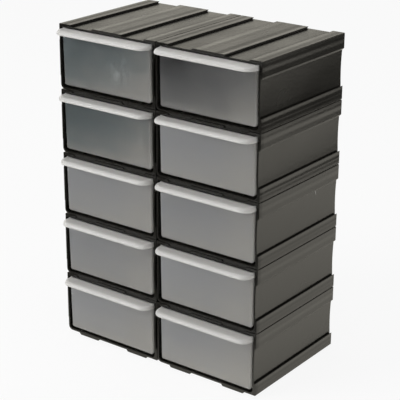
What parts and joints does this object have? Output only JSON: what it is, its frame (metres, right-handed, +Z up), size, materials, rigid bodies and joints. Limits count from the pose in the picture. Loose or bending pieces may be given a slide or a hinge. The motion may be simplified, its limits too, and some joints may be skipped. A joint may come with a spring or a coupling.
{
  "type": "parts bin cabinet",
  "caption": "Stacking parts cabinet: black open-fronted housings that hook together, each holding one translucent plastic drawer with a full-width pull lip.",
  "frame": {"origin": "centre of the cabinet's outer box in plan, on the surface that its feet stand on", "axes": "+X to the right seen from the front, +Y from the drawer fronts to the back, +Z up"},
  "size_m": [0.2528, 0.1588, 0.3466],
  "materials": {
    "housing": "injection-moulded black polypropylene with a soft sheen and faint sink marks",
    "drawer": "injection-moulded natural polypropylene, cloudy and translucent, lighter at its thick edges"
  },
  "bodies": {
    "housings": {"housing_row1_col1": "housing", "housing_row1_col2": "housing", "housing_row2_col1": "housing", "housing_row2_col2": "housing", "housing_row3_col1": "housing", "housing_row3_col2": "housing", "housing_row4_col1": "housing", "housing_row4_col2": "housing", "housing_row5_col1": "housing", "housing_row5_col2": "housing"},
    "drawer_r1c1": {"drawer_row1_col1": "drawer"},
    "drawer_r1c2": {"drawer_row1_col2": "drawer"},
    "drawer_r2c1": {"drawer_row2_col1": "drawer"},
    "drawer_r2c2": {"drawer_row2_col2": "drawer"},
    "drawer_r3c1": {"drawer_row3_col1": "drawer"},
    "drawer_r3c2": {"drawer_row3_col2": "drawer"},
    "drawer_r4c1": {"drawer_row4_col1": "drawer"},
    "drawer_r4c2": {"drawer_row4_col2": "drawer"},
    "drawer_r5c1": {"drawer_row5_col1": "drawer"},
    "drawer_r5c2": {"drawer_row5_col2": "drawer"}
  },
  "joints": [
    {"name": "drawer_r1c1_slide", "type": "slide", "parent": "housings", "child": "drawer_r1c1", "axis": [0, -1, 0], "range_m": [0, 0.11]},
    {"name": "drawer_r1c2_slide", "type": "slide", "parent": "housings", "child": "drawer_r1c2", "axis": [0, -1, 0], "range_m": [0, 0.11]},
    {"name": "drawer_r2c1_slide", "type": "slide", "parent": "housings", "child": "drawer_r2c1", "axis": [0, -1, 0], "range_m": [0, 0.11]},
    {"name": "drawer_r2c2_slide", "type": "slide", "parent": "housings", "child": "drawer_r2c2", "axis": [0, -1, 0], "range_m": [0, 0.11]},
    {"name": "drawer_r3c1_slide", "type": "slide", "parent": "housings", "child": "drawer_r3c1", "axis": [0, -1, 0], "range_m": [0, 0.11]},
    {"name": "drawer_r3c2_slide", "type": "slide", "parent": "housings", "child": "drawer_r3c2", "axis": [0, -1, 0], "range_m": [0, 0.11]},
    {"name": "drawer_r4c1_slide", "type": "slide", "parent": "housings", "child": "drawer_r4c1", "axis": [0, -1, 0], "range_m": [0, 0.11]},
    {"name": "drawer_r4c2_slide", "type": "slide", "parent": "housings", "child": "drawer_r4c2", "axis": [0, -1, 0], "range_m": [0, 0.11]},
    {"name": "drawer_r5c1_slide", "type": "slide", "parent": "housings", "child": "drawer_r5c1", "axis": [0, -1, 0], "range_m": [0, 0.11]},
    {"name": "drawer_r5c2_slide", "type": "slide", "parent": "housings", "child": "drawer_r5c2", "axis": [0, -1, 0], "range_m": [0, 0.11]}
  ]
}
